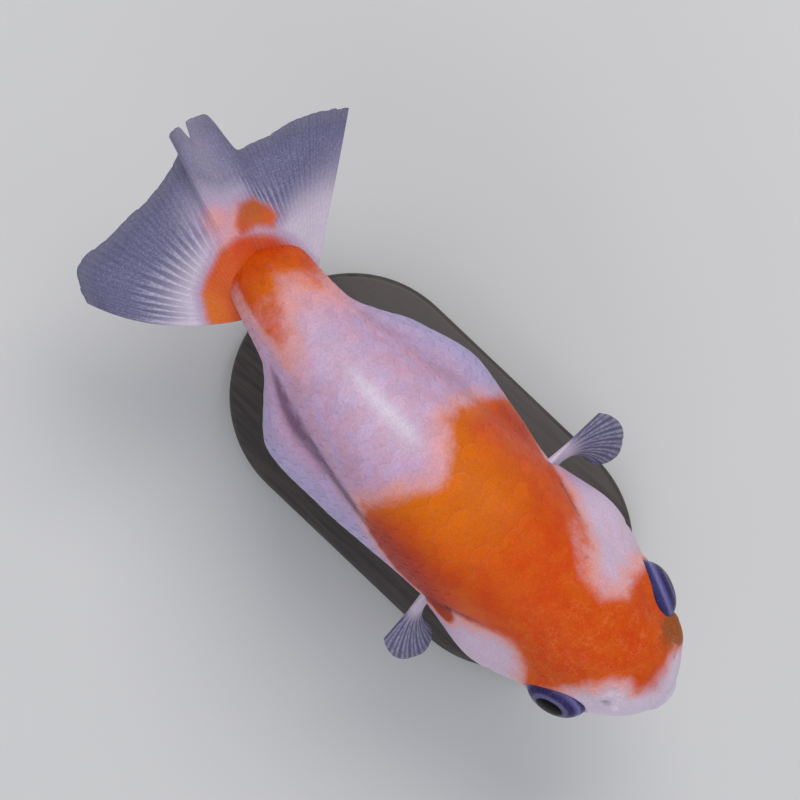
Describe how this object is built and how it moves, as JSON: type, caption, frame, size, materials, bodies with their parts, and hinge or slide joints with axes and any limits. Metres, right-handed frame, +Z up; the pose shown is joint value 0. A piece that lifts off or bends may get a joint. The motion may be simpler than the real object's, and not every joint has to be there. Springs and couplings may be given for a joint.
{
  "type": "goldfish",
  "caption": "Life-size still goldfish of the round-bodied ranchu type, orange and white, swimming level with its tail bent to its left, on a plain display stand.",
  "frame": {"origin": "bottom centre of the whole model's box, on the floor under the fish", "axes": "+Z up; the fish faces -Y, its tail points to +Y, and its left side is at +X"},
  "size_m": [0.0496, 0.0994, 0.0624],
  "materials": {
    "skin_orange": "satin scales, orange",
    "skin_white": "satin scales, pinkish white",
    "eye": "polished",
    "fin": "translucent membrane",
    "stand_board": "dark stain under satin lacquer",
    "stand_rod": "brushed",
    "stand_sleeve": "soft, cloudy clear"
  },
  "bodies": {
    "root": {"head": "skin_orange", "lower_jaw": "skin_white", "gill_cover_left": "skin_white", "gill_cover_right": "skin_white", "eye_left": "eye", "eye_right": "eye", "trunk": "skin_white", "tail_stem": "skin_orange", "pectoral_fin_left": "fin", "pectoral_fin_right": "fin", "pelvic_fin_left": "fin", "pelvic_fin_right": "fin", "anal_fin_left": "fin", "anal_fin_right": "fin", "tail_lobe_left": "fin", "tail_lobe_right": "fin", "tail_crest": "fin", "stand_base": "stand_board", "stand_rod_front": "stand_rod", "stand_rod_rear": "stand_rod"}
  },
  "joints": []
}
